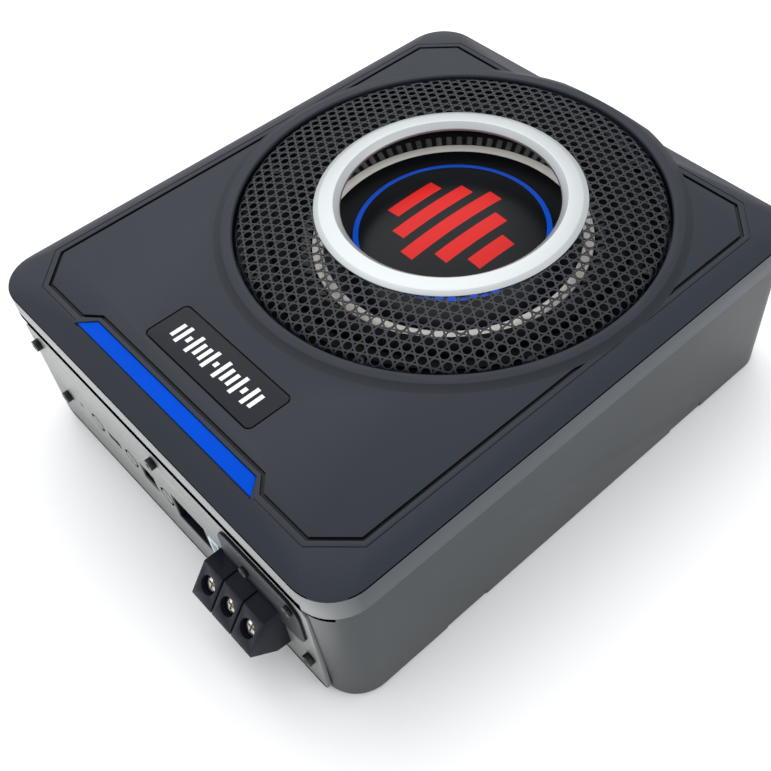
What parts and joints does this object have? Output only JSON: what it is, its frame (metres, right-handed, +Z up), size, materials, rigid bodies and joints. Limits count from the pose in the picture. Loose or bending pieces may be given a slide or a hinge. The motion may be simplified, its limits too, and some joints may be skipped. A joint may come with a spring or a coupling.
{
  "type": "powered car subwoofer",
  "caption": "Shallow rectangular powered subwoofer enclosure with a round domed grille, open metal ring, control panel with knobs and sockets, and a screw terminal block.",
  "frame": {"origin": "centre of the enclosure's flat base", "axes": "+X across the short side, +Y along the length away from the control panel, +Z up; the driver and its grille face +Z"},
  "size_m": [0.258, 0.319, 0.106],
  "materials": {
    "cover_plastic": "charcoal moulded plastic, fine grain",
    "body_plastic": "charcoal moulded plastic, fine grain",
    "foam": "black closed-cell foam",
    "black_steel": "black oxide",
    "accent_blue": "bright blue, satin",
    "badge_plastic": "charcoal, fine grain, pale printed glyph",
    "grille_steel": "black powder coat",
    "ring_aluminium": "bright turned",
    "brass": "plain",
    "basket_steel": "black paint",
    "surround_rubber": "smooth matt",
    "spider_cloth": "impregnated cloth",
    "copper": "enamelled copper",
    "plated_steel": "zinc plated",
    "ferrite": "sintered ferrite",
    "panel_paint": "light grey textured paint",
    "circuit_board": "green solder mask",
    "black_plastic": "satin",
    "nickel": "nickel plated",
    "white_plastic": "natural nylon",
    "lens_blue": "clear blue lens",
    "sink_aluminium": "extruded",
    "capacitor_sleeve": "dark sleeve",
    "cone_paper": "coated paper",
    "cap_plastic": "black with a printed blue ring",
    "trim_aluminium": "satin",
    "former_film": "polyimide film",
    "knob_plastic": "light grey, satin"
  },
  "bodies": {
    "enclosure": {"tub": "body_plastic", "top_cover": "cover_plastic", "cover_gasket": "foam", "cover_screws": "black_steel", "accent_strip": "accent_blue", "nameplate": "badge_plastic", "grille": "grille_steel", "grille_ring": "ring_aluminium", "mounting_inserts": "brass", "driver_basket": "basket_steel", "driver_gasket": "foam", "driver_screws": "black_steel", "surround": "surround_rubber", "spider": "spider_cloth", "tinsel_leads": "copper", "driver_terminals": "plated_steel", "top_plate": "plated_steel", "magnet": "ferrite", "yoke": "plated_steel", "control_panel": "panel_paint", "panel_screws": "black_steel", "control_board": "circuit_board", "potentiometers": "plated_steel", "phase_switch_body": "black_plastic", "remote_socket": "black_plastic", "input_socket_housing": "black_plastic", "input_sockets": "nickel", "speaker_level_socket": "white_plastic", "power_led": "lens_blue", "terminal_block": "black_plastic", "terminal_bars": "brass", "terminal_flange_screws": "black_steel", "amplifier_board": "circuit_board", "board_screws": "nickel", "heatsink": "sink_aluminium", "transistors": "black_plastic", "transformer": "copper", "capacitors": "capacitor_sleeve"},
    "cone_assembly": {"cone": "cone_paper", "dust_cap": "cap_plastic", "trim_ring": "trim_aluminium", "coil_former": "former_film", "voice_coil": "copper"},
    "gain_knob": {"gain_knob": "knob_plastic"},
    "lowpass_knob": {"lowpass_knob": "knob_plastic"},
    "bass_knob": {"bass_knob": "knob_plastic"},
    "phase_switch_slider": {"phase_switch_slider": "black_plastic"},
    "positive_screw": {"positive_screw": "nickel"},
    "remote_screw": {"remote_screw": "nickel"},
    "ground_screw": {"ground_screw": "nickel"}
  },
  "joints": [
    {"name": "cone_travel", "type": "slide", "parent": "enclosure", "child": "cone_assembly", "axis": [0, 0, 1], "range_m": [-0.006, 0.006], "stiffness_N_per_m": 4000, "deforming": ["surround", "spider", "tinsel_leads"]},
    {"name": "gain_turn", "type": "hinge", "parent": "enclosure", "child": "gain_knob", "pos_m": [-0.064, -0.145, 0.035], "axis": [0, 1, 0], "range_deg": [-150, 150]},
    {"name": "lowpass_turn", "type": "hinge", "parent": "enclosure", "child": "lowpass_knob", "pos_m": [-0.033, -0.145, 0.035], "axis": [0, 1, 0], "range_deg": [-150, 150]},
    {"name": "bass_turn", "type": "hinge", "parent": "enclosure", "child": "bass_knob", "pos_m": [-0.002, -0.145, 0.035], "axis": [0, 1, 0], "range_deg": [-150, 150]},
    {"name": "phase_slide", "type": "slide", "parent": "enclosure", "child": "phase_switch_slider", "axis": [1, 0, 0], "range_m": [0, 0.004]},
    {"name": "positive_screw_turn", "type": "hinge", "parent": "enclosure", "child": "positive_screw", "pos_m": [0.05212, -0.16335, 0.03785], "axis": [0, -0.809, 0.5878], "range_deg": [0, 720]},
    {"name": "remote_screw_turn", "type": "hinge", "parent": "enclosure", "child": "remote_screw", "pos_m": [0.06657, -0.16335, 0.03785], "axis": [0, -0.809, 0.5878], "range_deg": [0, 720]},
    {"name": "ground_screw_turn", "type": "hinge", "parent": "enclosure", "child": "ground_screw", "pos_m": [0.08102, -0.16335, 0.03785], "axis": [0, -0.809, 0.5878], "range_deg": [0, 720]}
  ]
}
